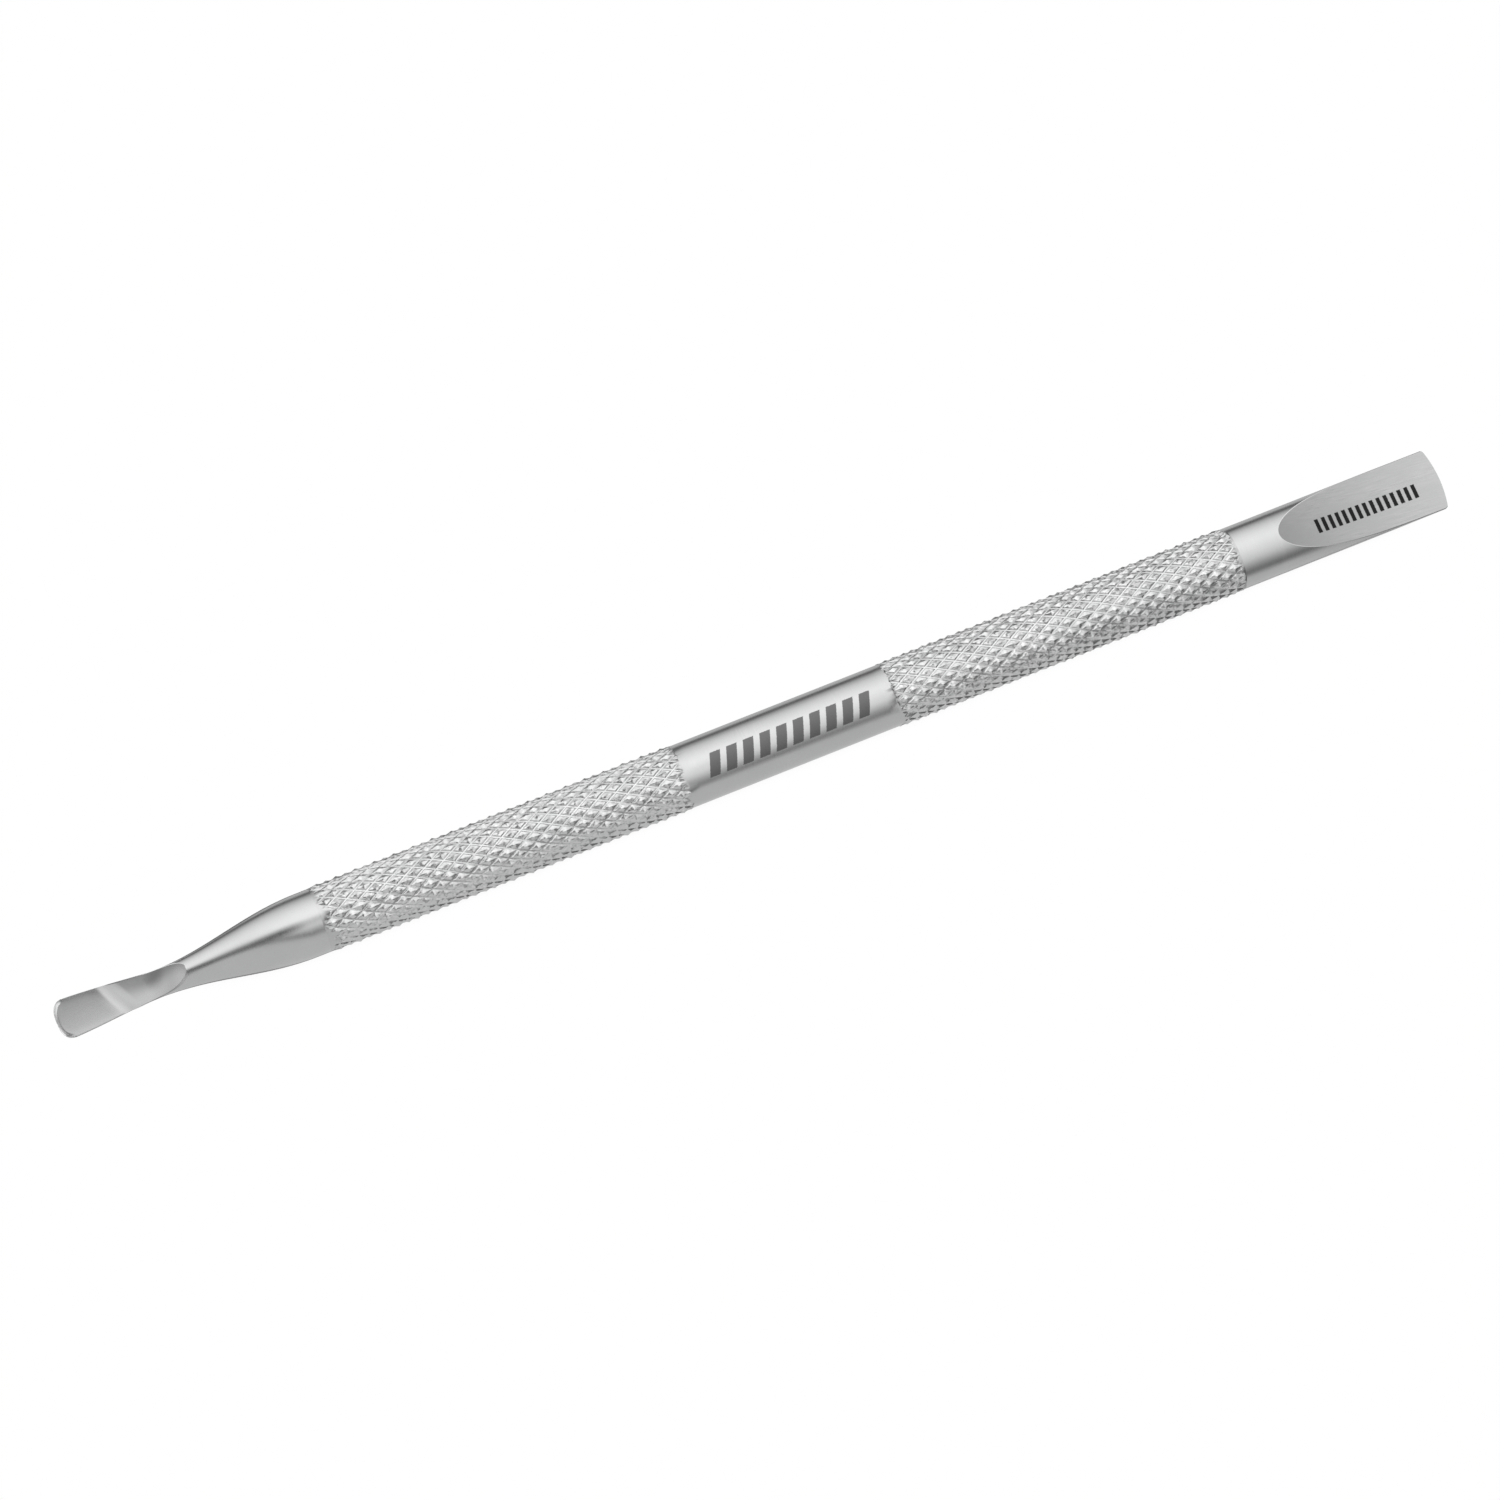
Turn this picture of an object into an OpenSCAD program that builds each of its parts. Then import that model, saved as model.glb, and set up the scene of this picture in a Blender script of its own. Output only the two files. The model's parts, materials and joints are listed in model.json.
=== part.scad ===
// Double-ended cuticle pusher, in millimetres.
// The bar lies along X with its axis through the origin, which is the middle of the plain band.
// The pusher end points to -X, the cleaner end to +X, and +Z is the side of the cupped face.

/* [Bar] */
// Diameter of the plain round bar
bar_d = 5.3; // [4.8:0.1:6.5]
// Length of the plain band in the middle of the handle
band_len = 18.1; // [10:0.1:30]

/* [Knurl] */
// Grooves per turn in each of the two crossing helical sets
knurl_starts = 18; // [12:1:24]
// Diamonds along each knurled zone
knurl_rows = 19; // [8:1:22]
// Length of one diamond along the bar
diamond_len = 1.64; // [1.2:0.01:2]
// Height of the diamond tips above the plain bar
knurl_rise = 0.17; // [0.05:0.01:0.3]
// Depth of the grooves below the diamond tips
knurl_depth = 0.36; // [0.2:0.01:0.45]

/* [Pusher end] */
// Full-diameter length between the knurl and the taper
taper_lead = 1.1; // [0.5:0.1:3]
// Length of the taper from the full bar down to the neck
taper_len = 12.5; // [8:0.1:16]
// Width of the neck
neck_w = 2.2; // [1.8:0.1:2.8]
// Length of the blade from the neck to its rounded end
blade_len = 8.4; // [7.5:0.1:10]
// Widest width of the blade
blade_w = 3.25; // [2.8:0.05:4]
// Length over which the blade's end is rounded in plan
blade_end_round = 1.15; // [0.9:0.05:1.6]
// Height of the blade's rim above the bar's axis
blade_lift = 0.5; // [0.3:0.05:0.7]
// Depth of the underside below the rim at the back of the blade
blade_depth = 0.62; // [0.5:0.02:0.8]
// Depth of the underside below the rim at the blade's end
edge_depth = 0.24; // [0.15:0.01:0.4]
// Height of the flat land along the blade's rim
rim_land = 0.1; // [0.06:0.01:0.15]
// Length past the neck over which the underside thins
thin_len = 5; // [4:0.1:6]
// Radius of the scoop that is ground across the neck
scoop_r = 6; // [5.5:0.1:7]
// Distance from the neck to the deepest point of the scoop
scoop_shift = 1.2; // [0.8:0.1:1.6]
// Height of the scoop's floor above the bar's axis
scoop_floor = 0.08; // [0:0.01:0.15]
// Hollow of the scoop across its width
scoop_cup = 0.16; // [0.1:0.01:0.25]
// Hollow of the blade's upper face below its rim
cup_depth = 0.12; // [0.05:0.01:0.2]

/* [Cleaner end] */
// Full-round collar between the knurl and the ground faces
collar_len = 3.7; // [2:0.1:6]
// Length of the two hollow-ground faces along the bar
face_len = 15.34; // [12:0.01:18]
// Thickness of the blade between the faces at its end
cleaner_edge = 0.3; // [0.2:0.05:0.8]
// Radius of the arc that ends the blade in plan
end_arc_r = 10; // [6:0.5:20]
// Radius of the two corners of the blade in plan
corner_r = 0.3; // [0.2:0.05:0.6]

/* [Press fits] */
// Diameter of the tang on each working end
tang_d = 3; // [2:0.1:3.4]
// Length of each tang in its socket
tang_len = 8; // [5:0.5:12]

/* [Hidden] */

bar_r = bar_d / 2;
steel = [0.78, 0.79, 0.80];
smooth = 96;

// Knurl: the diamond tips, the groove crossings and the place of each zone.
tip_r = bar_r + knurl_rise;
groove_r = tip_r - knurl_depth;
knurl_len = knurl_rows * diamond_len;
band_end = band_len / 2;
knurl_end = band_end + knurl_len;
ring_n = 2 * knurl_starts;
ring_count = 2 * knurl_rows + 1;

// Pusher end: distances are measured from the knurl's outer end towards the blade's end.
neck_r = neck_w / 2;
neck_at = taper_lead + taper_len;
blade_end_at = neck_at + blade_len;
scoop_low_at = neck_at + scoop_shift;
thin_at = neck_at + thin_len;
// The turned taper hands over to the loft before the scoop reaches the surface.
loft_at = neck_at - 3.4;
// The rim rises from the bar's axis to the blade's height between these two places.
lift_from = neck_at - 2.3;
lift_to = neck_at + 3.7;
// Height over which the scoop's far side blends into the blade's face
crest_blend = 0.15;
// Exponents of the oval that rounds the blade's end and of the blade's underside
end_fullness = 2.5;
underside_fullness = 2.2;

// Loft: intervals over half a section, of which side_steps are on each side of the ground face
half_steps = 18;
side_steps = 5;
loft_sides = 2 * half_steps;
loft_rings = 52;
// Rings close up towards the tip by this power.
ring_crowding = 1.6;
// Largest angle at which a point is kept on the line where the upper face meets the blank
widest_rim_angle = 75;
// The loft is this much slimmer than the taper, so that its first ring lies inside the taper's end.
loft_inset = 0.01;
// Length left off the blade's tip, where the oval end would close to a point
tip_flat = 0.03;
taper_steps = 40;

// Cleaner end: the wheel that grinds each face is tangent to it at the blade's end.
face_at = knurl_end + collar_len;
cleaner_end_at = face_at + face_len;
face_drop = bar_r - cleaner_edge / 2;
wheel_r = (face_len * face_len + face_drop * face_drop) / (2 * face_drop);

// Smooth step from 0 to 1, flat at both ends
function ease(u) = let (v = min(1, max(0, u))) v * v * (3 - 2 * v);
// Cosine step from 0 to 1, the S shape of the turned taper
function swing(u) = (1 - cos(180 * min(1, max(0, u)))) / 2;
function mix(a, b, u) = a + (b - a) * u;
// The smaller of two heights, blended over a height of k where they cross
function blend_min(a, b, k) = let (h = max(0, k - abs(a - b)) / k) min(a, b) - h * h * k / 4;

// ---- Knurl ----

// A point of the knurl's net: groove crossings alternate with diamond tips,
// and the rings at both ends stay at the groove's radius so that the zone runs out into the bar.
function net_point(ring, step) =
    let (at_end = ring == 0 || ring == ring_count - 1,
         crossing = (ring + step) % 2 == 0,
         r = crossing || at_end ? groove_r : tip_r,
         a = 360 * step / ring_n)
    [ring * diamond_len / 2, r * cos(a), r * sin(a)];

function net_index(ring, step) = ring * ring_n + (step % ring_n + ring_n) % ring_n;

// The two triangles between four neighbouring net points, split along the line that joins
// the two groove crossings, so that every tip becomes a four-sided pyramid.
function net_cell(ring, step) =
    let (a = net_index(ring, step), b = net_index(ring, step + 1),
         c = net_index(ring + 1, step + 1), d = net_index(ring + 1, step))
    (ring + step) % 2 == 0 ? [[a, c, b], [a, d, c]] : [[a, d, b], [b, d, c]];

// One knurled zone as a closed body from x = 0 to x = knurl_len
module knurl_zone() {
    points = [for (ring = [0 : ring_count - 1], step = [0 : ring_n - 1]) net_point(ring, step)];
    walls = [for (ring = [0 : ring_count - 2], step = [0 : ring_n - 1], cell = net_cell(ring, step)) cell];
    first_cap = [for (step = [0 : ring_n - 1]) net_index(0, step)];
    last_cap = [for (step = [ring_n - 1 : -1 : 0]) net_index(ring_count - 1, step)];
    polyhedron(points = points, faces = concat(walls, [first_cap, last_cap]));
}

// A round bar along X from x = a to x = b
module round_bar(a, b, r) {
    translate([a, 0, 0]) rotate([0, 90, 0]) cylinder(h = b - a, r = r, $fn = smooth);
}

// A blind socket for a tang, from past its mouth at the handle's +X end down to its floor
module socket() {
    round_bar(knurl_end - tang_len, knurl_end + tang_d, tang_d / 2);
}

module handle() {
    color(steel)
    difference() {
        union() {
            round_bar(-band_end, band_end, bar_r);
            for (flip = [0, 1])
                mirror([flip, 0, 0]) translate([band_end, 0, 0]) knurl_zone();
        }
        for (flip = [0, 1])
            mirror([flip, 0, 0]) socket();
    }
}

// ---- Pusher end, with s the distance from the knurl's outer end ----

function taper_r(s) = mix(bar_r, neck_r, swing((s - taper_lead) / taper_len));

// Half the width in plan, before the rounded end
function half_width(s) =
    let (u = (s - neck_at) / (blade_len - blade_end_round))
    s < neck_at ? taper_r(s) - loft_inset
                : mix(neck_r - loft_inset, blade_w / 2, (min(1, u) + ease(u)) / 2);

// Share of the width that the rounded end leaves, as a full oval
function end_share(s) =
    let (u = max(0, (s - blade_end_at + blade_end_round) / blade_end_round))
    pow(max(0, 1 - pow(u, end_fullness)), 1 / end_fullness);

// Height of the rim, and how far the underside and the blank's top stand from it
function rim_z(s) = blade_lift * ease((s - lift_from) / (lift_to - lift_from));
function under_depth(s) =
    let (thinning = ease((s - neck_at) / (thin_at - neck_at)),
         sharpening = (s - thin_at) / (blade_end_at - thin_at))
    s < neck_at ? half_width(s)
                : s < thin_at ? mix(half_width(neck_at), blade_depth, thinning)
                              : mix(blade_depth, edge_depth, sharpening);
// The underside turns from a true half circle at the neck into a fuller, flatter oval
function under_power(s) = 2 / mix(2, underside_fullness, ease((s - neck_at) / 3));

// Middle line of the upper face: the scoop's arc, then the blade's hollow face
function scoop_z(s) =
    let (along = min(s - scoop_low_at, 0.7 * scoop_r))
    scoop_floor + scoop_r - sqrt(scoop_r * scoop_r - along * along);
function face_z(s) =
    s < scoop_low_at ? scoop_z(s)
                     : blend_min(scoop_z(s), blade_lift + rim_land - cup_depth, crest_blend);
function cup(s) = mix(scoop_cup, cup_depth, ease((s - scoop_low_at) / 2));

// Angle round the blank, from its widest line, at which the ground upper face meets it
function rim_angle(s) =
    let (w = half_width(s), c = cup(s), gap = rim_z(s) - face_z(s) - c,
         rise = (sqrt(max(0, w * w - 4 * c * gap)) - w) / (2 * c))
    asin(min(sin(widest_rim_angle), max(rise, 0)));

// Angle of point j of the upper half: side_steps up the blank, then across the face, then down
function upper_angle(s, j) =
    let (rim = rim_angle(s), across = half_steps - 2 * side_steps)
    j < side_steps ? rim * j / side_steps
    : j > half_steps - side_steps ? 180 - rim * (half_steps - j) / side_steps
    : acos(cos(rim) * (1 - 2 * (j - side_steps) / across));

// Point j of the lofted section at s, counted from the +Y rim over the top and back below
function loft_point(s, j) =
    let (w = half_width(s), upper = j <= half_steps,
         a = upper ? upper_angle(s, j) : 180 * j / half_steps,
         face = face_z(s) + cup(s) * cos(a) * cos(a),
         z = upper ? min(rim_z(s) + w * sin(a), face)
                   : rim_z(s) - under_depth(s) * pow(abs(sin(a)), under_power(s)))
    [-(knurl_end + s), w * cos(a) * end_share(s), z];

// Ring positions close up towards the rounded end
function ring_s(i) =
    let (u = i / loft_rings, close = 1 - pow(1 - u, ring_crowding))
    mix(loft_at, blade_end_at - tip_flat, close);

module blade_loft() {
    points = [for (i = [0 : loft_rings], j = [0 : loft_sides - 1])
              loft_point(ring_s(i), j)];
    walls = [for (i = [0 : loft_rings - 1], j = [0 : loft_sides - 1])
             let (k = (j + 1) % loft_sides, a = i * loft_sides, b = a + loft_sides)
             each [[a + j, b + k, b + j], [a + j, a + k, b + k]]];
    first_cap = [for (j = [loft_sides - 1 : -1 : 0]) j];
    last_cap = [for (j = [0 : loft_sides - 1]) loft_rings * loft_sides + j];
    polyhedron(points = points, faces = concat(walls, [first_cap, last_cap]));
}

// The turned taper from the knurl to the neck
module turned_taper() {
    outline = [for (i = [0 : taper_steps]) let (s = loft_at * i / taper_steps) [taper_r(s), s]];
    rotate([0, -90, 0]) translate([0, 0, knurl_end])
        rotate_extrude($fn = smooth) polygon(concat([[0, 0]], outline, [[0, loft_at]]));
}

module pusher_tip() {
    color(steel) {
        round_bar(-knurl_end, -knurl_end + tang_len, tang_d / 2);
        turned_taper();
        blade_loft();
    }
}

// ---- Cleaner end ----

// The wheel that grinds one face; side is 1 for the upper face and -1 for the lower
module grinding_wheel(side) {
    translate([cleaner_end_at, 0, side * (wheel_r + cleaner_edge / 2)])
        rotate([90, 0, 0]) cylinder(h = 2 * bar_d, r = wheel_r, center = true, $fn = 720);
}

// What the blade loses in plan beyond the arc that ends it
module end_cut() {
    arc_drop = end_arc_r - sqrt(end_arc_r * end_arc_r - bar_r * bar_r);
    linear_extrude(height = bar_d, center = true)
        difference() {
            translate([cleaner_end_at - 2 * arc_drop, -bar_d]) square([4 * arc_drop, 2 * bar_d]);
            translate([cleaner_end_at - end_arc_r, 0]) circle(r = end_arc_r, $fn = 4 * smooth);
        }
}

// What one corner of the blade loses in plan, outside a round that is tangent to side and end
module corner_cut(side) {
    arc_x = cleaner_end_at - end_arc_r;
    round_y = bar_r - corner_r;
    round_x = arc_x + sqrt(pow(end_arc_r - corner_r, 2) - round_y * round_y);
    beyond = 2 * corner_r;
    reach = (end_arc_r + beyond) / (end_arc_r - corner_r);
    linear_extrude(height = bar_d, center = true)
        difference() {
            polygon([[round_x, side * round_y],
                     [round_x, side * (bar_r + beyond)],
                     [cleaner_end_at + beyond, side * (bar_r + beyond)],
                     [arc_x + reach * (round_x - arc_x), side * reach * round_y]]);
            translate([round_x, side * round_y]) circle(r = corner_r, $fn = smooth);
        }
}

module cleaner_tip() {
    color(steel) {
        round_bar(knurl_end - tang_len, knurl_end, tang_d / 2);
        difference() {
            round_bar(knurl_end, cleaner_end_at, bar_r);
            end_cut();
            for (side = [-1, 1]) {
                grinding_wheel(side);
                corner_cut(side);
            }
        }
    }
}

handle();
pusher_tip();
cleaner_tip();
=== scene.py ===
"""Looks of a double-ended steel cuticle pusher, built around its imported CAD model.

The bar lies along X with its axis through the origin. The pusher blade is at -X, the cleaner blade at +X.
Sizes are in metres. MM turns the millimetres that this trade measures in into metres.
"""
import json
import math

import bpy
from mathutils import Matrix, Vector, noise


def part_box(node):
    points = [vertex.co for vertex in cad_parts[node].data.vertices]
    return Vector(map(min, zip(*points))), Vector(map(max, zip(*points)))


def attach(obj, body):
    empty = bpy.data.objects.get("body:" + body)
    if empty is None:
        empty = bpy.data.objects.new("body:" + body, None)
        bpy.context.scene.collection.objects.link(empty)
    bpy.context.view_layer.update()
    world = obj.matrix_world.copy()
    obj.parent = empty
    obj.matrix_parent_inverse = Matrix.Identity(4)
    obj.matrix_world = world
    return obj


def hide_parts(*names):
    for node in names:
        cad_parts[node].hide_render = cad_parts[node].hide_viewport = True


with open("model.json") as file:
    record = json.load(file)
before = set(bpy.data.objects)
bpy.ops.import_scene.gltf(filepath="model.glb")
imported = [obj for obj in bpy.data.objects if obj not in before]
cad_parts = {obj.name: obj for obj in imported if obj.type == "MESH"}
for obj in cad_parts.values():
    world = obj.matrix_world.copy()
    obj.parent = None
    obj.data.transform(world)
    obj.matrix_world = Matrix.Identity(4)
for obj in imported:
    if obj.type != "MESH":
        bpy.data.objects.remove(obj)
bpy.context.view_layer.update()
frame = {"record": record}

MM = 0.001
RECORD = frame["record"]

# ---- Sizes from the frame ----

HANDLE_LOW, HANDLE_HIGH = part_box("handle")
PUSHER_LOW, PUSHER_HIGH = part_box("pusher_tip")
CLEANER_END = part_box("cleaner_tip")[1].x
BAND = next(m for m in RECORD["mounts"] if m["name"] == "band_pin")
BAR_R = BAND["dims"]["r_mm"] * MM
BAND_END = BAND["dims"]["length_mm"] * MM / 2
KNURL_END = HANDLE_HIGH.x
KNURL_LEN = KNURL_END - BAND_END
KNURL_TIP_R = HANDLE_HIGH.z
TANG_LEN = PUSHER_HIGH.x - HANDLE_LOW.x
TANG_R = 1.5 * MM

# ---- Small maths ----


def clamp(value, low=0.0, high=1.0):
    return min(high, max(low, value))


def mix(a, b, share):
    return a + (b - a) * share


def ease(share):
    """Smooth step from 0 to 1, flat at both ends."""
    v = clamp(share)
    return v * v * (3 - 2 * v)


def blend_min(a, b, blend):
    """The smaller of two values, rounded over a height of blend where they cross."""
    h = max(0.0, blend - abs(a - b)) / blend
    return min(a, b) - h * h * blend / 4


def ripple(seed, *place):
    """Repeatable noise from -1 to 1 at a place given in any units."""
    x, y, z = (list(place) + [0.0, 0.0])[:3]
    return noise.noise(Vector((x + 17.3 * seed, y - 9.1 * seed, z + 4.7 * seed)))


# ---- Mesh building ----


# Material slots of the pieces: plain turned bar, knurled or ground surface, buffed edges; the handle has only
# the first two
PLAIN, WORKED, BUFFED = 0, 1, 2


def make_piece(name, surface, replaced, materials, crease_deg=30):
    """A closed piece that stands for a CAD node: crisp along buffed edges and at angles over crease_deg."""
    mesh = bpy.data.meshes.new(name)
    mesh.from_pydata(surface.points, [], surface.faces)
    for material in materials:
        mesh.materials.append(material)
    mesh.polygons.foreach_set("use_smooth", [True] * len(mesh.polygons))
    mesh.polygons.foreach_set("material_index", surface.paint)
    mesh.set_sharp_from_angle(angle=math.radians(crease_deg))
    finishes = {}
    for polygon in mesh.polygons:
        for key in polygon.edge_keys:
            finishes.setdefault(key, set()).add(polygon.material_index)
    for edge in mesh.edges:
        if len(finishes[edge.key]) > 1 and BUFFED in finishes[edge.key]:
            edge.use_edge_sharp = True
    mesh.update()
    piece = bpy.data.objects.new(name, mesh)
    bpy.context.scene.collection.objects.link(piece)
    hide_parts(replaced)
    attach(piece, "root")
    return piece


class Surface:
    """Points and faces under construction, with a material number for each face."""

    def __init__(self):
        self.points, self.faces, self.paint, self.places = [], [], [], {}

    def point(self, p):
        """Index of a point, sharing one that is already there within a tenth of a micrometre."""
        key = tuple(round(c * 1e7) for c in p)
        if key not in self.places:
            self.places[key] = len(self.points)
            self.points.append(tuple(p))
        return self.places[key]

    def face(self, corners, paint=PLAIN):
        """A face, without repeated corners; one that has shrunk to a line is left out."""
        kept = [c for i, c in enumerate(corners) if c != corners[i - 1]]
        if len(set(kept)) == len(kept) and len(kept) > 2:
            self.faces.append(kept)
            self.paint.append(paint)

    def skin(self, rings, paint_of=None):
        """Quads between closed rings of points that all have the same count."""
        indexed = [[self.point(p) for p in ring] for ring in rings]
        count = len(indexed[0])
        for r, (near, far) in enumerate(zip(indexed, indexed[1:])):
            for i in range(count):
                j = (i + 1) % count
                paint = paint_of(r, i) if paint_of else PLAIN
                self.face([near[i], far[i], far[j], near[j]], paint)
        return indexed

    def cap(self, ring, reverse=False):
        self.face(ring[::-1] if reverse else ring)


# ---- Handle: plain band between two diamond-knurled zones ----

STARTS = 18
DIAMOND_ROWS = 19
DIAMOND_LEN = KNURL_LEN / DIAMOND_ROWS
GROOVE_DEPTH = 0.27 * MM
GROOVE_R = KNURL_TIP_R - GROOVE_DEPTH
# Grid lines across one diamond in helical coordinates, where 0 and 1 are the middles of two grooves.
GROOVE_FLOOR = 0.055
HALF_KNOTS = [0.0, GROOVE_FLOOR, 0.17, 0.33, 0.5]
CELL_KNOTS = HALF_KNOTS + [1 - knot for knot in HALF_KNOTS[-2::-1]]
CELL = len(CELL_KNOTS) - 1
# The flanks bulge by this share of the depth, and diamonds differ in height by up to twice the other share.
SHOULDER = 0.12
FULLNESS_SPREAD = 0.07
# Torn flanks: share of the depth, and size of the grain
TORN_SHARE = 0.14
TORN_GRAIN = 0.22 * MM
# The grooves deepen over this length at a zone's ends, and over the longer one at the pusher's end.
# The place where they start to deepen wanders by the spread round the bar.
RUN_OUT = 0.5 * DIAMOND_LEN
LONG_RUN_OUT = 0.8 * DIAMOND_LEN
RUN_OUT_SPREAD = 0.4 * DIAMOND_LEN
# The diamonds rise above the plain bar once the grooves are this share of the way in.
RISE_LAG = 0.3
# Surface that is cut this deep, or that has risen by half, counts as knurled.
BITE = 0.02 * MM
BAND_RINGS = 24
# How far each zone's diamonds are turned about the bar, for the zones at -X and +X
KNURL_TURN = {-1: math.radians(-7.3), 1: math.radians(-2.7)}


def helical(count):
    """Helical coordinate of grid line number count: whole numbers are the middles of grooves."""
    whole, part = divmod(count, CELL)
    return whole + CELL_KNOTS[part]


def flank(coordinate):
    """Height from 0 on a groove's floor to 1 midway between two grooves, with a shoulder between."""
    from_groove = abs(coordinate - round(coordinate))
    share = clamp((from_groove - GROOVE_FLOOR) / (0.5 - GROOVE_FLOOR))
    return share + SHOULDER * math.sin(2 * math.pi * share)


def run_out(along, angle, side):
    """Shares from 0 to 1 by which grooves have deepened and diamonds have risen, along from the inner end."""
    from_end = min(along, KNURL_LEN - along)
    wander = ripple(4 + side, 2.2 * math.cos(angle), 2.2 * math.sin(angle), along / KNURL_LEN)
    is_pusher_end = side < 0 and along > KNURL_LEN / 2
    way_in = (from_end + RUN_OUT_SPREAD * (0.4 + wander)) / (LONG_RUN_OUT if is_pusher_end else RUN_OUT)
    at_end = ease(from_end / (0.1 * DIAMOND_LEN))
    return ease(way_in) * at_end, ease(way_in - RISE_LAG) * at_end


def knurl_radius(a, b, along, angle, side):
    """Radius where grooves of the two sets have coordinates a and b, and whether it is knurled there."""
    fullness = 1 - FULLNESS_SPREAD * (1 - ripple(3 + side, math.floor(a) * 1.7, math.floor(b) % STARTS * 2.3))
    pyramid = blend_min(blend_min(flank(a), flank(b), 0.25), 0.92, 0.2) * fullness
    place = (along, BAR_R * math.cos(angle), BAR_R * math.sin(angle))
    torn = TORN_SHARE * ripple(5 + side, *(c / TORN_GRAIN for c in place))
    height = clamp(pyramid + torn * ease(4 * pyramid))
    deepened, risen = run_out(along, angle, side)
    r = min(GROOVE_R + GROOVE_DEPTH * (height + 1 - deepened), mix(BAR_R, KNURL_TIP_R, risen))
    return r, risen > 0.5 or r < BAR_R - BITE


def knurl_zone(surface, side):
    """One knurled zone, from the band out to the handle's end on the given side, meshed along its grooves."""
    around, rows = STARTS * CELL, 2 * DIAMOND_ROWS * CELL
    bitten = set()

    def vertex(line_a, line_b):
        a, b = helical(line_a), helical(line_b)
        along, angle = DIAMOND_LEN * (a + b) / 2, math.pi * (a - b) / STARTS
        r, is_bitten = knurl_radius(a, b, along, angle, side)
        turned_to = angle + KNURL_TURN[side]
        at = surface.point((side * (BAND_END + along), r * math.cos(turned_to), r * math.sin(turned_to)))
        if is_bitten:
            bitten.add(at)
        return at

    grid = {}
    for total in range(rows + 1):
        for a in range(total - around, total + 1):
            b = total - a
            key = (total, (a - b) % (2 * around))
            if key not in grid:
                grid[key] = vertex(a, b)

    def at(a, b):
        return grid.get((a + b, (a - b) % (2 * around)))

    for total in range(-1, rows):
        for turn in range(around):
            a = turn + (total + 1) // 2
            b = total - a
            near, right, far, left = at(a, b), at(a + 1, b), at(a + 1, b + 1), at(a, b + 1)
            ridge_with_axis = (a % CELL < CELL / 2) == (b % CELL < CELL / 2)
            if near is None:
                faces = [(right, far, left)]
            elif far is None:
                faces = [(near, right, left)]
            elif ridge_with_axis:
                faces = [(near, right, far), (near, far, left)]
            else:
                faces = [(near, right, left), (right, far, left)]
            for corners in faces:
                paint = WORKED if bitten.issuperset(corners) else PLAIN
                surface.face(corners if side > 0 else corners[::-1], paint)


def bar_ring(x, radius, turn):
    """Ring whose points fall on the knurled zones' end points once it is turned with them."""
    angles = [2 * math.pi * helical(i) / STARTS + turn for i in range(STARTS * CELL)]
    return [(x, radius * math.cos(a), radius * math.sin(a)) for a in angles]


def tang_rings(outline, side):
    """Two rings of the tang on the given side, scaled down from the outline that its piece starts with."""
    return [[(side * (KNURL_END - depth), y * TANG_R / BAR_R, z * TANG_R / BAR_R) for _, y, z in outline]
            for depth in (TANG_LEN, 0.0)]


def build_handle(satin, knurled):
    surface = Surface()
    knurl_zone(surface, 1)
    knurl_zone(surface, -1)
    shares = [i / BAND_RINGS for i in range(BAND_RINGS + 1)]
    surface.skin([bar_ring(mix(BAND_END, -BAND_END, share), BAR_R, mix(KNURL_TURN[1], KNURL_TURN[-1], share))
                  for share in shares])
    for side in (1, -1):
        socket = [bar_ring(side * KNURL_END, BAR_R, KNURL_TURN[side]),
                  bar_ring(side * KNURL_END, TANG_R, KNURL_TURN[side]),
                  bar_ring(side * (KNURL_END - TANG_LEN), TANG_R, KNURL_TURN[side])]
        rings = surface.skin([ring[::-side] for ring in socket])
        surface.cap(rings[-1], reverse=True)
    return make_piece("knurled_handle", surface, "handle", [satin, knurled], crease_deg=26)


# ---- Pusher end: taper, neck, scoop and cupped blade ----
# s is the distance from the knurl's outer end towards the blade's end.

NECK_R = 1.1 * MM
TAPER_LEAD = 1.1 * MM
TAPER_LEN = 12.5 * MM
NECK_AT = TAPER_LEAD + TAPER_LEN
BLADE_END_AT = -PUSHER_LOW.x - KNURL_END
BLADE_HALF_W = 1.625 * MM
END_ROUND = 1.15 * MM
END_FULLNESS = 2.5
RIM_Z = 0.5 * MM
RIM_RISE_FROM = NECK_AT - 2.3 * MM
RIM_RISE_LEN = 6.0 * MM
RIM_LAND = 0.1 * MM
BLADE_DEPTH = 0.62 * MM
EDGE_DEPTH = 0.24 * MM
# The scoop's arc comes down to its floor, which climbs slowly and then steeply to the crest.
SCOOP_LOW_AT = NECK_AT + 0.9 * MM
SCOOP_R = 5.4 * MM
CREST_AT = NECK_AT + 3.6 * MM
CREST_CLIMB = 1.4 * MM
SCOOP_FLOOR = 0.08 * MM
SCOOP_CLIMB = 0.12 * MM
SCOOP_CUP = 0.15 * MM
BLADE_CUP = 0.1 * MM
CREST_BLEND = 0.22 * MM
THIN_AT = NECK_AT + 5.0 * MM
# The cup changes from the scoop's to the blade's over this length.
CUP_CHANGE = 2.0 * MM
# The face was ground by hand, so the scoop's start and its crest run askew and the blade is rolled a little.
START_SKEW = 0.3
CREST_SKEW = 0.5
FACE_ROLL = 0.01
# The underside's sections are this full, 2 being an ellipse.
UNDER_FULLNESS = 2.2
# The -Y edge of the ground face is rounded over the first width; the +Y edge keeps a bevel of the second.
SOFT_EDGE = 0.08 * MM
CRISP_EDGE = 0.035 * MM
# Shares of those widths: how far both go down the side, and how far the rounded edge drops
SOFT_DOWN = 0.45
CRISP_DOWN = 0.7
SOFT_DROP = 0.35
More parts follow.
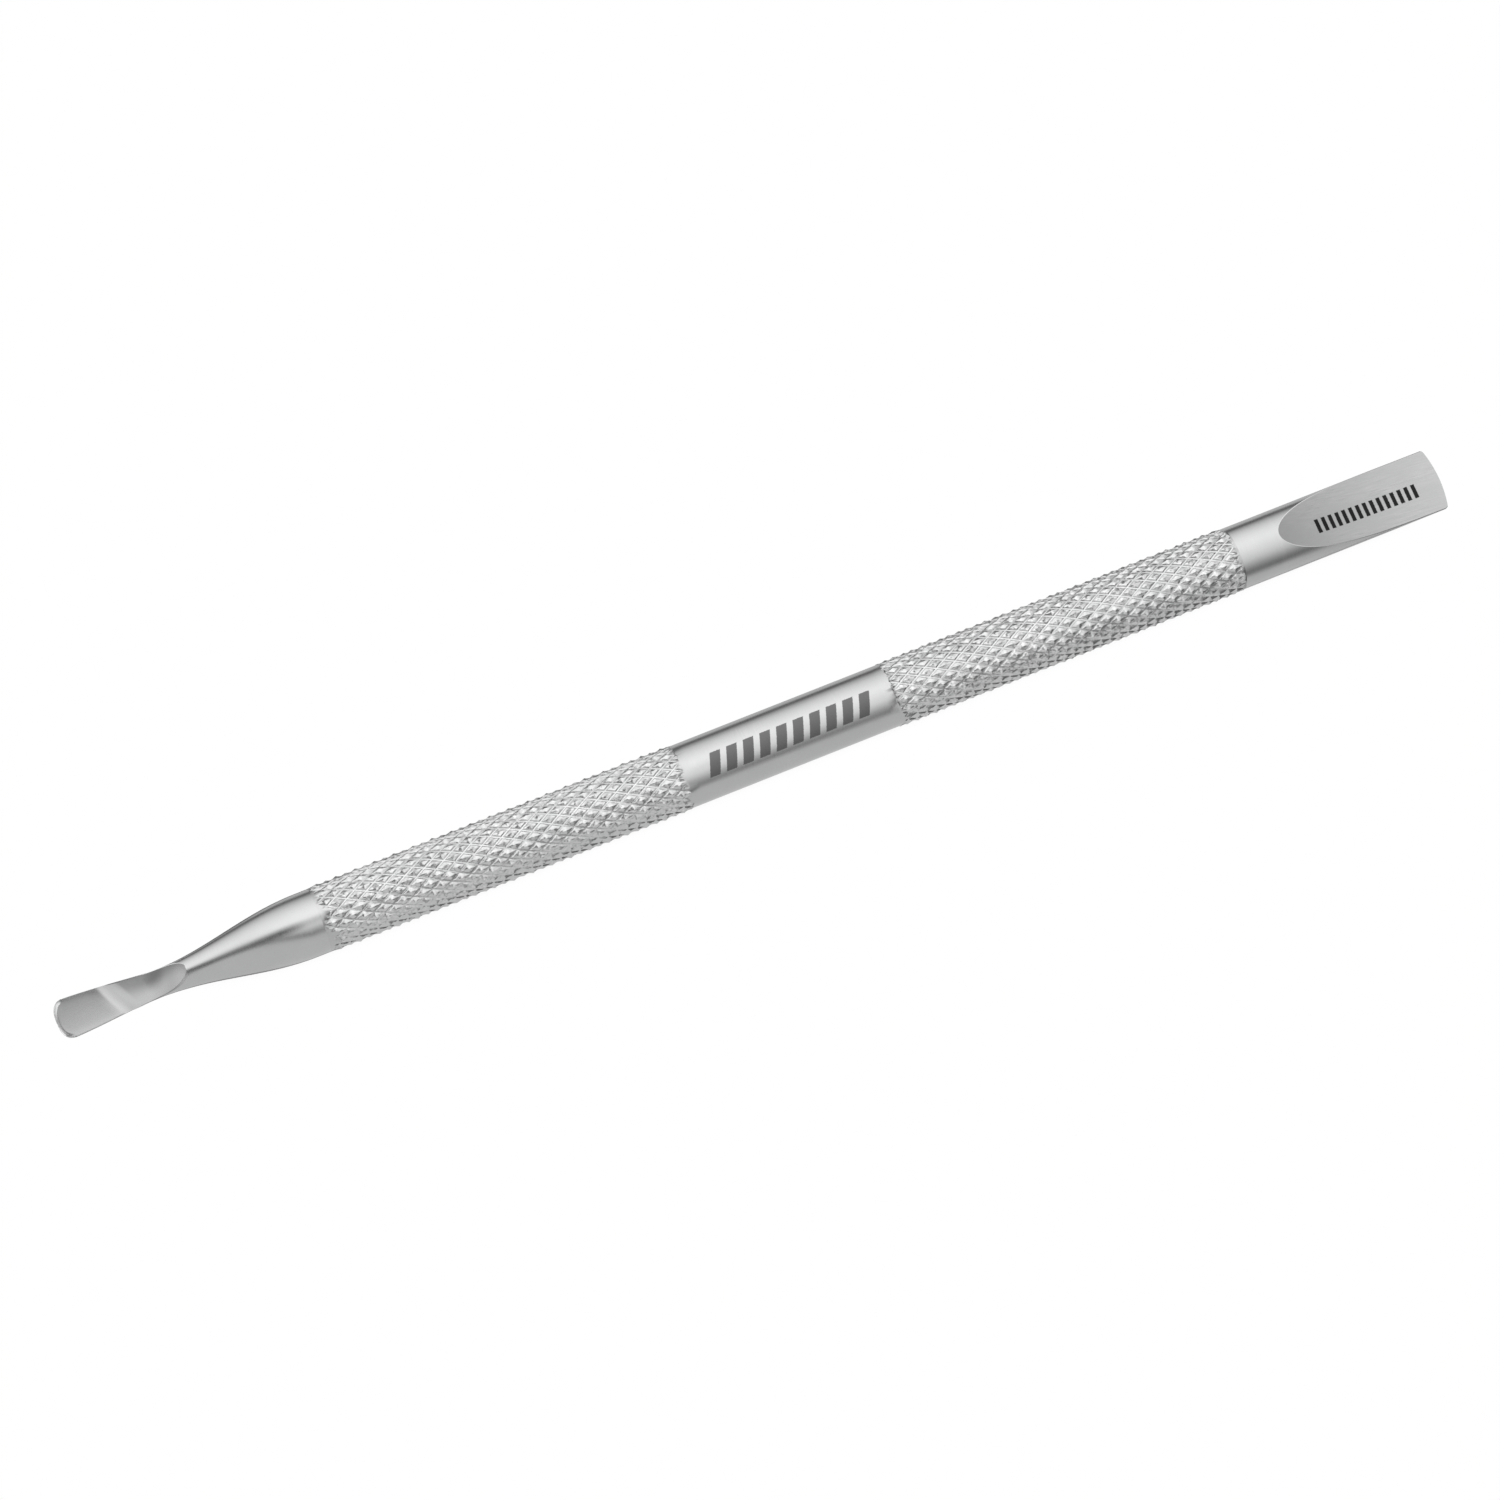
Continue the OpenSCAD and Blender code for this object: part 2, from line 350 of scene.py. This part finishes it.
# The narrow bevel along the blade's rounded end
END_BEVEL_WIDTH = 0.28 * MM
END_BEVEL_DROP = 0.11 * MM


def taper_r(s):
    swing = (1 - math.cos(math.pi * clamp((s - TAPER_LEAD) / TAPER_LEN))) / 2
    return mix(BAR_R, NECK_R, swing)


def blade_half_width(s):
    if s < NECK_AT:
        return taper_r(s)
    u = clamp((s - NECK_AT) / (BLADE_END_AT - END_ROUND - NECK_AT))
    return mix(NECK_R, BLADE_HALF_W, (u + ease(u)) / 2)


def end_share(s):
    """Share of the width that the rounded end leaves, as a full oval."""
    u = clamp((s - BLADE_END_AT + END_ROUND) / END_ROUND)
    return (1 - u ** END_FULLNESS) ** (1 / END_FULLNESS)


def rim_height(s):
    return RIM_Z * ease((s - RIM_RISE_FROM) / RIM_RISE_LEN)


def under_depth(s):
    if s < NECK_AT:
        return blade_half_width(s)
    if s < THIN_AT:
        return mix(NECK_R, BLADE_DEPTH, ease((s - NECK_AT) / (THIN_AT - NECK_AT)))
    return mix(BLADE_DEPTH, EDGE_DEPTH, (s - THIN_AT) / (BLADE_END_AT - THIN_AT))


def middle_height(s):
    """Middle line of the ground upper face: the scoop's arc, its crest, then the blade."""
    along = s - SCOOP_LOW_AT
    if along < 0:
        return SCOOP_FLOOR + SCOOP_R - math.sqrt(SCOOP_R ** 2 - max(along, -0.8 * SCOOP_R) ** 2)
    floor = SCOOP_FLOOR + SCOOP_CLIMB * ease(along / (2 * (CREST_AT - SCOOP_LOW_AT)))
    blade = RIM_Z + RIM_LAND - BLADE_CUP
    climb = max(0.0, (s - CREST_AT + CREST_CLIMB) / CREST_CLIMB) ** 2
    return blend_min(mix(floor, blade, climb), blade, CREST_BLEND)


def face_height(s, y):
    """Height of the ground upper face, y being the place across it before the end is narrowed."""
    over = ease((s - SCOOP_LOW_AT + CUP_CHANGE) / (2 * CUP_CHANGE))
    skewed = s + y * mix(START_SKEW, -CREST_SKEW, over)
    flat = ease((skewed - SCOOP_LOW_AT - CUP_CHANGE) / CUP_CHANGE)
    across = y / blade_half_width(s)
    shape = mix(across ** 2, 0.5 * across ** 2 + 0.5 * across ** 8, flat)
    rise = mix(SCOOP_CUP, BLADE_CUP, flat) * shape
    return middle_height(skewed) + rise + FACE_ROLL * over * y


def rim_angle(s, side):
    """Angle round the blank, from its widest line, at which the ground face meets it on one side."""
    w, low, high = blade_half_width(s), 0.0, math.pi / 2
    for _ in range(30):
        a = (low + high) / 2
        if rim_height(s) + w * math.sin(a) < face_height(s, side * w * math.cos(a)):
            low = a
        else:
            high = a
    return low


def scoop_from():
    """Where the scoop's arc comes down through the top of the taper."""
    low, high = SCOOP_LOW_AT - 0.7 * SCOOP_R, SCOOP_LOW_AT
    for _ in range(30):
        s = (low + high) / 2
        if middle_height(s) > taper_r(s):
            low = s
        else:
            high = s
    return high


SCOOP_FROM = scoop_from()


def end_bevel(s, y):
    """How far the upper face drops in the bevel along the rounded end, y being the final place across."""
    start = BLADE_END_AT - END_ROUND
    u, across = clamp((s - start) / END_ROUND), abs(y) / BLADE_HALF_W
    out = (across ** END_FULLNESS + u ** END_FULLNESS) ** (1 / END_FULLNESS)
    from_rim = (1 - out) * mix(BLADE_HALF_W, END_ROUND, u)
    reach = ease((s - start) / (0.6 * END_ROUND))
    return END_BEVEL_DROP * reach * clamp(1 - from_rim / END_BEVEL_WIDTH)


# Counts of points in a section; the first few steps down the rounded edge still look ground.
SIDE_STEPS = 12
SOFT_SIDE_STEPS = 3
FACE_STEPS = 44
UNDER_STEPS = 56


def blade_section(s):
    """One section, from the +Y rim over the top to the -Y rim and back round the underside."""
    w, share, rim_z = blade_half_width(s), end_share(s), rim_height(s)
    started = s > SCOOP_FROM
    near_rim, far_rim = (rim_angle(s, 1), rim_angle(s, -1)) if started else (math.pi / 2, math.pi / 2)
    near, far = w * math.cos(near_rim), w * math.cos(far_rim)
    crisp, soft = min(CRISP_EDGE, 0.2 * near), min(SOFT_EDGE, 0.3 * far)
    outline = []

    def add(y, z):
        outline.append((-(KNURL_END + s), y * share, z))

    for i in range(SIDE_STEPS):
        a = (near_rim - CRISP_DOWN * crisp / w) * i / (SIDE_STEPS - 1)
        add(w * math.cos(a), rim_z + w * math.sin(a))
    for i in range(FACE_STEPS + 1):
        y = mix(near - crisp, -far, i / FACE_STEPS)
        blank = rim_z + math.sqrt(max(0.0, w * w - y * y))
        z = min(face_height(s, y), blank) if started else blank
        past_edge = clamp((-y - far + soft) / soft)
        add(y, z - end_bevel(s, y * share) - SOFT_DROP * soft * past_edge ** 2)
    for i in range(SIDE_STEPS - 1, -1, -1):
        a = max(0.0, far_rim - SOFT_DOWN * soft / w) * i / (SIDE_STEPS - 1)
        add(-w * math.cos(a), rim_z + w * math.sin(a))
    power = 2 / mix(2.0, UNDER_FULLNESS, ease((s - NECK_AT) / (3 * MM)))
    for i in range(1, UNDER_STEPS):
        a = math.pi * i / UNDER_STEPS
        add(-w * math.cos(a), rim_z - under_depth(s) * math.sin(a) ** power)
    return outline


def blade_stations():
    """Distances of the sections: even along the taper, close at the scoop's start and at the rounded end."""
    taper = [SCOOP_FROM * i / 60 for i in range(60)]
    scoop = [SCOOP_FROM + 3.0 * MM * (i / 44) ** 1.8 for i in range(44)]
    blade_from, round_from = scoop[-1] + 0.1 * MM, BLADE_END_AT - END_ROUND
    blade = [mix(blade_from, round_from, i / 60) for i in range(60)]
    tip = [round_from + (END_ROUND - 0.004 * MM) * math.sin(math.pi / 2 * i / 28) for i in range(29)]
    return taper + scoop + blade + tip


def build_pusher(satin, ground, buffed):
    surface = Surface()
    stations = blade_stations()
    rings = [blade_section(s) for s in stations]
    tang = tang_rings(rings[0], -1)

    def paint_of(r, i):
        ring = r - len(tang)
        if ring < 0 or stations[ring] < SCOOP_FROM - 0.001 * MM:
            return PLAIN
        if i == SIDE_STEPS - 1:
            return BUFFED
        in_bevel = end_bevel(stations[ring], rings[ring][i][1]) > 0.1 * END_BEVEL_DROP
        if in_bevel and SIDE_STEPS <= i < SIDE_STEPS + FACE_STEPS:
            return BUFFED
        return WORKED if SIDE_STEPS <= i < SIDE_STEPS + FACE_STEPS + SOFT_SIDE_STEPS else PLAIN

    indexed = surface.skin(tang + rings, paint_of)
    surface.cap(indexed[0])
    surface.cap(indexed[-1], reverse=True)
    return make_piece("pusher_blade", surface, "pusher_tip", [satin, ground, buffed])


# ---- Cleaner end: collar and blade hollow-ground on both sides ----

FACE_LEN = 15.34 * MM
EDGE_HALF = 0.15 * MM
END_ARC_R = 10.0 * MM
CORNER_R = 0.3 * MM
FACE_BEVEL = 0.07 * MM
# The share of the bevel's width by which the face and the land next to it are cut back
BEVEL_CUT = 0.6
FACE_DROP = BAR_R - EDGE_HALF
WHEEL_R = (FACE_LEN ** 2 + FACE_DROP ** 2) / (2 * FACE_DROP)
ARC_X = CLEANER_END - END_ARC_R
CORNER_Y = BAR_R - CORNER_R
CORNER_X = ARC_X + math.sqrt((END_ARC_R - CORNER_R) ** 2 - CORNER_Y ** 2)
CORNER_OUT_X = ARC_X + (CORNER_X - ARC_X) * END_ARC_R / (END_ARC_R - CORNER_R)


def plan_half_width(x):
    """Half the blade's width in plan, with its rounded corners and arc-shaped end."""
    if x < CORNER_X:
        return BAR_R
    if x < CORNER_OUT_X:
        return CORNER_Y + math.sqrt(CORNER_R ** 2 - (x - CORNER_X) ** 2)
    return math.sqrt(max(0.0, END_ARC_R ** 2 - (x - ARC_X) ** 2))


def hollow_height(x):
    """Height of the upper ground face above the axis."""
    from_end = CLEANER_END - x
    if from_end >= FACE_LEN:
        return BAR_R
    return EDGE_HALF + WHEEL_R - math.sqrt(WHEEL_R ** 2 - from_end ** 2)


LAND_STEPS = 48
HOLLOW_STEPS = 36
SIDE_POINTS = HOLLOW_STEPS + 1 + LAND_STEPS + 1


def cleaner_section(x):
    """One section: upper face from +Y to -Y, the -Y land, lower face, the +Y land."""
    h, plan = hollow_height(x), plan_half_width(x)
    corner_angle = math.asin(clamp(h / BAR_R))
    half = min(BAR_R * math.cos(corner_angle), plan)
    bevel = min(FACE_BEVEL, 0.3 * half, 0.5 * h)
    cut = BEVEL_CUT * bevel
    top = [((half - cut) * (1 - 2 * i / HOLLOW_STEPS), h) for i in range(HOLLOW_STEPS + 1)]
    trimmed = corner_angle - cut / BAR_R
    turns = [trimmed * (1 - 2 * i / LAND_STEPS) for i in range(LAND_STEPS + 1)]
    land = [(-min(BAR_R * math.cos(a), plan), BAR_R * math.sin(a)) for a in turns]
    return [(x, y, z) for y, z in top + land] + [(x, -y, -z) for y, z in top + land]


def build_cleaner(satin, brushed, buffed):
    surface = Surface()
    face_from = CLEANER_END - FACE_LEN
    collar = [mix(KNURL_END, face_from, i / 8) for i in range(8)]
    heel = [face_from + 4 * MM * (i / 40) ** 2 for i in range(40)]
    blade = [mix(heel[-1] + 0.1 * MM, CORNER_X, i / 30) for i in range(30)]
    tip_len = CLEANER_END - 0.002 * MM - CORNER_X
    tip = [CORNER_X + tip_len * math.sin(math.pi / 2 * i / 24) for i in range(25)]
    rings = [cleaner_section(x) for x in collar + heel + blade + tip]
    tang = tang_rings(rings[0], 1)

    def paint_of(r, i):
        # The rings are reversed below, so this counts back to the point's number in its half of a section.
        place = (2 * SIDE_POINTS - 2 - i) % SIDE_POINTS
        if r - len(tang) < len(collar):
            return PLAIN
        if place in (HOLLOW_STEPS, SIDE_POINTS - 1):
            return BUFFED
        return WORKED if place < HOLLOW_STEPS else PLAIN

    indexed = surface.skin([ring[::-1] for ring in tang + rings], paint_of)
    surface.cap(indexed[0])
    surface.cap(indexed[-1], reverse=True)
    return make_piece("cleaner_blade", surface, "cleaner_tip", [satin, brushed, buffed])


# ---- Materials ----


class Nodes:
    """Shorthand for building a material's node tree."""

    def __init__(self, tree):
        self.tree = tree

    def add(self, kind, settings=None, **inputs):
        made = self.tree.nodes.new("ShaderNode" + kind)
        for key, value in (settings or {}).items():
            setattr(made, key, value)
        for key, value in inputs.items():
            self.feed(made, key.replace("_", " "), value)
        return made

    def feed(self, made, socket, value):
        """Links an output, or sets a value, at the input with this name or number."""
        target = made.inputs[int(socket)] if socket.isdigit() else made.inputs[socket]
        if hasattr(value, "is_output"):
            self.tree.links.new(value, target)
        else:
            target.default_value = value

    def maths(self, operation, *values, clamped=False):
        made = self.add("Math", {"operation": operation, "use_clamp": clamped})
        for i, value in enumerate(values):
            self.feed(made, str(i), value)
        return made.outputs[0]

    def total(self, *values):
        return self.chain("ADD", values)

    def product(self, *values):
        return self.chain("MULTIPLY", values)

    def chain(self, operation, values):
        result = values[0]
        for value in values[1:]:
            result = self.maths(operation, result, value)
        return result

    def span(self, value, low, high, to_low=0.0, to_high=1.0, smooth=False):
        """The value's place between low and high, clamped and turned into a place between the other two."""
        kind = "SMOOTHSTEP" if smooth else "LINEAR"
        made = self.add("MapRange", {"interpolation_type": kind}, Value=value)
        for key, number in (("From Min", low), ("From Max", high), ("To Min", to_low), ("To Max", to_high)):
            made.inputs[key].default_value = number
        return made.outputs["Result"]

    def mix_colour(self, share, a, b):
        made = self.add("Mix", {"data_type": "RGBA"})
        self.feed(made, "0", share)
        self.feed(made, "6", a)
        self.feed(made, "7", b)
        return made.outputs[2]

    def grain(self, vector, scales, detail=2.0, rough=0.5):
        """Noise stretched by different scales along X, Y and Z, in features per metre."""
        scaled = self.add("VectorMath", {"operation": "MULTIPLY"})
        self.feed(scaled, "0", vector)
        self.feed(scaled, "1", scales)
        made = self.add("TexNoise", {"noise_dimensions": "3D"}, Vector=scaled.outputs[0])
        made.inputs["Scale"].default_value = 1.0
        made.inputs["Detail"].default_value = detail
        made.inputs["Roughness"].default_value = rough
        return made.outputs["Fac"]


def grey(level, warm=0.0):
    return (level * (1 + warm), level, level * (1 - warm), 1.0)


BRUSH_SLANT = math.radians(5)
FINE_GRAIN = (26000, 26000, 26000)
CLOUDS = (260, 420, 420)


def steel(name, tone, rough, brush, brush_depth, grain_share, streak=0.06, patch=None, patch_tone=0.1,
          patch_rough=0.25):
    """Stainless steel with brush lines, fine grain, faint clouding and, where patch is given, another tone.

    brush is the count of lines per metre along X, Y and Z. streak is how much they vary the tone.
    """
    material = bpy.data.materials.new(name)
    material.use_nodes = True
    n = Nodes(material.node_tree)
    shader = material.node_tree.nodes["Principled BSDF"]
    place = n.add("TexCoord").outputs["Object"]
    slanted = n.add("VectorRotate", {"rotation_type": "Z_AXIS"}, Vector=place, Angle=BRUSH_SLANT)
    brushed = n.grain(slanted.outputs["Vector"], brush, 3.0, 0.6)
    fine = n.grain(place, FINE_GRAIN, 2.0)
    cloud = n.grain(place, CLOUDS, 3.0)
    lines = n.total(n.product(brushed, 1 - grain_share), n.product(fine, grain_share))
    dark, light = grey(tone * (1 - streak), -0.006), grey(min(tone * (1 + streak), 1), 0.002)
    colour = n.mix_colour(n.span(lines, 0.3, 0.7), dark, light)
    colour = n.mix_colour(n.span(cloud, 0.35, 0.65), colour, grey(tone * 0.97, -0.004))
    brush_rough = n.span(lines, 0.2, 0.8, rough - 0.05, rough + 0.06)
    roughness = n.total(brush_rough, n.span(cloud, 0.3, 0.7, -0.02, 0.03))
    if patch:
        share = patch(n, place)
        colour = n.mix_colour(share, colour, grey(patch_tone))
        roughness = n.total(roughness, n.product(share, patch_rough))
    bump = n.add("Bump", Height=lines)
    bump.inputs["Strength"].default_value = 1.0
    bump.inputs["Distance"].default_value = brush_depth
    shader.inputs["Metallic"].default_value = 1.0
    n.feed(shader, "Base Color", colour)
    n.feed(shader, "Roughness", roughness)
    n.feed(shader, "Normal", bump.outputs["Normal"])
    return material


# Etched marks: step from one to the next, share of it that is the mark's half width, count, and half height
BAND_STEP = 1.45 * MM
BAND_BAR = 0.30
BAND_BARS = 10
BAND_HALF_TALL = 0.95 * MM
BAND_SLANT = 0.35
BAND_TURN = math.radians(10)
FACE_STEP = 0.66 * MM
FACE_TICK = 0.24
FACE_TICKS = 15
FACE_HALF_TALL = 0.58 * MM
FACE_MARK_X = 52.2 * MM
FACE_MARK_Y = -0.35 * MM
# Softness of a mark's outline, and how far it wanders
MARK_FADE = 0.04 * MM
MARK_WANDER = 0.03 * MM


def etched_row(n, place, along, across, step, half_share, count, half_tall):
    """Share from 0 to 1 in a row of equal bars, centred where along and across are 0, with eaten outlines."""
    fuzz = n.span(n.grain(place, (14000, 14000, 14000), 2.0), 0.2, 0.8, -MARK_WANDER, MARK_WANDER)
    steps = n.maths("DIVIDE", n.total(along, fuzz), step)
    # The 100 keeps the phase clear of negative numbers.
    phase = n.maths("FRACT", n.total(steps, 100 + count / 2))
    from_bar = n.product(n.maths("ABSOLUTE", n.maths("SUBTRACT", phase, 0.5)), step)
    from_row = n.total(n.maths("ABSOLUTE", across), fuzz)
    bars = n.span(from_bar, half_share * step, half_share * step + MARK_FADE, 1.0, 0.0)
    tall = n.span(from_row, half_tall, half_tall + MARK_FADE, 1.0, 0.0)
    inside = n.maths("LESS_THAN", n.maths("ABSOLUTE", along), count * step / 2)
    return n.product(bars, tall, inside)


def band_mark(n, place):
    """A plain row of slanting bars, etched in the side of the band that faces up."""
    axis = n.add("SeparateXYZ", Vector=place)
    turn = n.maths("ARCTAN2", axis.outputs["Y"], axis.outputs["Z"])
    around = n.product(n.total(turn, BAND_TURN), BAR_R)
    slanted = n.maths("SUBTRACT", axis.outputs["X"], n.product(around, BAND_SLANT))
    return etched_row(n, place, slanted, around, BAND_STEP, BAND_BAR, BAND_BARS, BAND_HALF_TALL)


def face_mark(n, place):
    """A row of fine upright ticks, etched in the upper ground face of the cleaner blade."""
    axis = n.add("SeparateXYZ", Vector=place)
    along_face = n.maths("SUBTRACT", axis.outputs["X"], FACE_MARK_X)
    across_face = n.maths("SUBTRACT", axis.outputs["Y"], FACE_MARK_Y)
    ticks = etched_row(n, place, along_face, across_face, FACE_STEP, FACE_TICK, FACE_TICKS, FACE_HALF_TALL)
    return n.product(ticks, n.maths("GREATER_THAN", axis.outputs["Z"], 0.0))


def scoop_polish(n, place):
    """Share from 0 to 1 at the scoop's start, lightening it towards the turned steel's tone, and up to half
    near its crest, where it is a painted highlight.
    """
    axis = n.add("SeparateXYZ", Vector=place)
    skewed = n.maths("MULTIPLY_ADD", axis.outputs["Y"], CREST_SKEW, axis.outputs["X"])
    from_crest = n.maths("ABSOLUTE", n.total(skewed, KNURL_END + CREST_AT))
    crest = n.span(from_crest, 0.1 * MM, 1.2 * MM, 1.0, 0.0, smooth=True)
    from_start = n.total(axis.outputs["X"], KNURL_END + SCOOP_FROM)
    start = n.span(from_start, -1.6 * MM, -0.1 * MM, 0.0, 1.0, smooth=True)
    return n.maths("MAXIMUM", n.product(crest, 0.5), start)


# Brush lines run round the bar on turned surfaces and along it on the ground faces.
ROUND_BRUSH = (14000, 700, 700)
LONG_BRUSH = (450, 8000, 3000)
KNURL_GRAIN = (4500, 6000, 6000)
SCOOP_GRAIN = (4000, 9000, 9000)
BUFFED_GRAIN = (6000, 6000, 6000)

turned = steel("turned_steel", 0.60, 0.18, ROUND_BRUSH, 0.0008 * MM, 0.4)
marked = steel("marked_band_steel", 0.58, 0.18, ROUND_BRUSH, 0.0008 * MM, 0.4,
               patch=band_mark, patch_tone=0.17)
knurled = steel("rolled_knurl_steel", 0.68, 0.07, KNURL_GRAIN, 0.02 * MM, 0.1, streak=0.25)
# The scoop's patch lightens its start towards the turned steel and paints a highlight along its crest.
scooped = steel("scoop_steel", 0.41, 0.28, SCOOP_GRAIN, 0.003 * MM, 0.6, streak=0.08,
                patch=scoop_polish, patch_tone=0.56, patch_rough=-0.03)
ground = steel("ground_face_steel", 0.50, 0.30, LONG_BRUSH, 0.014 * MM, 0.2, streak=0.14,
               patch=face_mark, patch_tone=0.03)
buffed = steel("buffed_edge_steel", 0.72, 0.20, BUFFED_GRAIN, 0.001 * MM, 0.5)

build_handle(marked, knurled)
build_pusher(turned, scooped, buffed)
build_cleaner(turned, ground, buffed)

# ---- Camera ----
# Nearly overhead, leaning a little to the pusher end and to -Y, with the bar rising to the right.

LEAN = math.radians(10.5)
TURN = math.radians(10.0)
ROLL = math.radians(21.57)
DISTANCE = 0.356
AIM = Vector((-3.05 * MM, 0.0, 0.0))
LENS_MM = 106.2
SENSOR_MM = 36.0

along = Vector((math.cos(TURN), -math.sin(TURN) * math.sin(LEAN), math.sin(TURN) * math.cos(LEAN)))
across = Vector((0.0, math.cos(LEAN), math.sin(LEAN)))
back = along.cross(across)
right = math.cos(ROLL) * along - math.sin(ROLL) * across
up = math.sin(ROLL) * along + math.cos(ROLL) * across


def add_camera():
    camera = bpy.data.objects.new("camera", bpy.data.cameras.new("camera"))
    bpy.context.scene.collection.objects.link(camera)
    camera.data.lens = LENS_MM
    camera.data.sensor_width = SENSOR_MM
    camera.data.clip_start = 0.01
    camera.data.clip_end = 20.0
    turned_to = Matrix((right, up, back)).transposed().to_4x4()
    camera.matrix_world = Matrix.Translation(AIM + DISTANCE * back) @ turned_to
    bpy.context.scene.camera = camera


# ---- Floor and studio ----

FLOOR_HALF = 3.0
SHADE_REACH = 9 * MM
STUDIO_R = 0.5
STUDIO_ROWS = 24
STUDIO_COLUMNS = 48


def add_stage(name, points, faces, glow_of):
    """A glowing surface that casts no shadow. glow_of gives its brightness as a node output."""
    mesh = bpy.data.meshes.new(name)
    mesh.from_pydata(points, [], faces)
    material = bpy.data.materials.new(name + "_glow")
    material.use_nodes = True
    material.node_tree.nodes.clear()
    n = Nodes(material.node_tree)
    glow = n.add("Emission", Color=grey(1.0), Strength=glow_of(n))
    n.add("OutputMaterial", Surface=glow.outputs[0])
    mesh.materials.append(material)
    stage = bpy.data.objects.new(name, mesh)
    bpy.context.scene.collection.objects.link(stage)
    stage.visible_shadow = False
    return stage


def floor_glow(n):
    """White, with a painted contact shadow close under the bar, where ambient occlusion dims it."""
    openness = n.add("AmbientOcclusion", {"samples": 8}, Distance=SHADE_REACH)
    return n.span(openness.outputs["AO"], 0.0, 0.40, 0.45, 1.0)


def add_floor():
    """A pale floor that the handle rests on, seen by the camera but not in reflections."""
    signs = ((-1, -1), (1, -1), (1, 1), (-1, 1))
    corners = [(x * FLOOR_HALF, y * FLOOR_HALF, -KNURL_TIP_R) for x, y in signs]
    floor = add_stage("floor", corners, [(0, 1, 2, 3)], floor_glow)
    floor.visible_glossy = False
    floor.visible_diffuse = False


def part_along(n, direction, axis):
    dot = n.add("VectorMath", {"operation": "DOT_PRODUCT"})
    n.feed(dot, "0", direction)
    n.feed(dot, "1", tuple(axis))
    return dot.outputs["Value"]


def studio_glow(n):
    """Brightness of the studio by direction: a soft box above, a card below, a dark gap and the dark camera.

    Places in the studio are on a flat map of directions with the camera's direction at its centre. p runs to
    the image's right and q runs up, and both are 1 at a right angle to the view.
    """
    centred = n.add("VectorMath", {"operation": "NORMALIZE"})
    n.feed(centred, "0", n.add("TexCoord").outputs["Object"])
    direction = centred.outputs["Vector"]
    # The last digit keeps the divisor above 0 straight away from the camera.
    depth = n.total(part_along(n, direction, back), 1.0001)
    p = n.maths("DIVIDE", part_along(n, direction, right), depth)
    q = n.maths("DIVIDE", part_along(n, direction, up), depth)

    def distance(p_at, q_at, p_reach, q_reach):
        """Distance from a place on the map, as a share of an oval's two reaches."""
        x = n.maths("DIVIDE", n.maths("SUBTRACT", p, p_at), p_reach)
        y = n.maths("DIVIDE", n.maths("SUBTRACT", q, q_at), q_reach)
        return n.maths("SQRT", n.total(n.product(x, x), n.product(y, y)))

    # The box and the card part along a line that falls to the lower right, just below the camera.
    above_line = n.total(n.product(p, 0.62), n.product(q, 0.785), 0.085)
    along_line = n.total(n.product(p, 0.785), n.product(q, -0.62))

    # The box brightens above the line, more slowly to the right, and also reaches round to the left.
    ramp = n.span(along_line, -0.2, 0.3, 0.13, 0.22)
    in_box = n.maths("POWER", n.maths("DIVIDE", above_line, ramp, clamped=True), 0.6)
    left_arm = n.product(n.span(p, -0.18, -0.30), n.span(q, -0.04, 0.10))
    in_box = n.maths("MAXIMUM", in_box, left_arm)

    # It is brightest at one place and fades away from there, faster to the right.
    gap_level, box_peak, box_rim = 0.22, 1.45, 0.16
    p_reach = n.total(n.product(n.maths("LESS_THAN", p, 0.05), 0.85), 0.75)
    reach = n.maths("MINIMUM", distance(0.05, 0.35, p_reach, 1.25), 1.0)
    box = n.span(n.maths("POWER", reach, 1.3), 0.0, 1.0, box_peak - gap_level, box_rim - gap_level)

    # The card begins below a gap that narrows to the left, and ends at the left. To the right of what the
    # plain round bar mirrors, it is brighter above and darker below.
    gap_width = n.span(p, -0.25, 0.1, 0.02, 0.09)
    on_card = n.maths("DIVIDE", n.product(above_line, -1.0), gap_width, clamped=True)
    on_card = n.product(on_card, n.span(p, -0.20, -0.34, 1.0, 0.1), n.maths("SUBTRACT", 1.0, in_box))
    beyond_bar = n.span(part_along(n, direction, (1.0, 0.0, 0.0)), 0.38, 0.57)
    card = n.total(n.product(beyond_bar, n.span(q, -0.3, 0.0, -0.55, 0.78)), 0.70)

    # Behind the tool, as seen from the camera, is a pale wall.
    wall = n.product(n.span(distance(0.0, 0.0, 1.0, 1.0), 1.9, 2.4), n.span(above_line, 0.0, 0.5, 0.0, 0.45))
    from_card = n.product(on_card, n.maths("SUBTRACT", card, gap_level))
    level = n.total(gap_level, from_card, n.product(in_box, box))
    camera = n.span(distance(-0.055, 0.045, 1.0, 1.0), 0.03, 0.18, 0.12, 1.0)
    return n.product(n.total(level, wall), camera)


def add_studio():
    """A dome round the tool, seen only in reflections, in front of a white background."""
    world = bpy.data.worlds.new("white_background")
    bpy.context.scene.world = world
    world.use_nodes = True
    world.node_tree.nodes["Background"].inputs["Color"].default_value = grey(1.0)

    tilts = [math.pi * i / STUDIO_ROWS for i in range(STUDIO_ROWS + 1)]
    turns = [2 * math.pi * j / STUDIO_COLUMNS for j in range(STUDIO_COLUMNS)]
    points = [(STUDIO_R * math.sin(tilt) * math.cos(turn), STUDIO_R * math.sin(tilt) * math.sin(turn),
               STUDIO_R * math.cos(tilt)) for tilt in tilts for turn in turns]
    faces = []
    for row in range(0, STUDIO_ROWS * STUDIO_COLUMNS, STUDIO_COLUMNS):
        for j in range(STUDIO_COLUMNS):
            beside = (j + 1) % STUDIO_COLUMNS
            faces.append((row + j, row + STUDIO_COLUMNS + j, row + STUDIO_COLUMNS + beside, row + beside))
    dome = add_stage("studio_dome", points, faces, studio_glow)
    dome.location = AIM
    dome.visible_camera = False
    dome.active_material.cycles.emission_sampling = "NONE"


add_camera()
add_floor()
add_studio()
bpy.context.scene.view_settings.view_transform = "Standard"
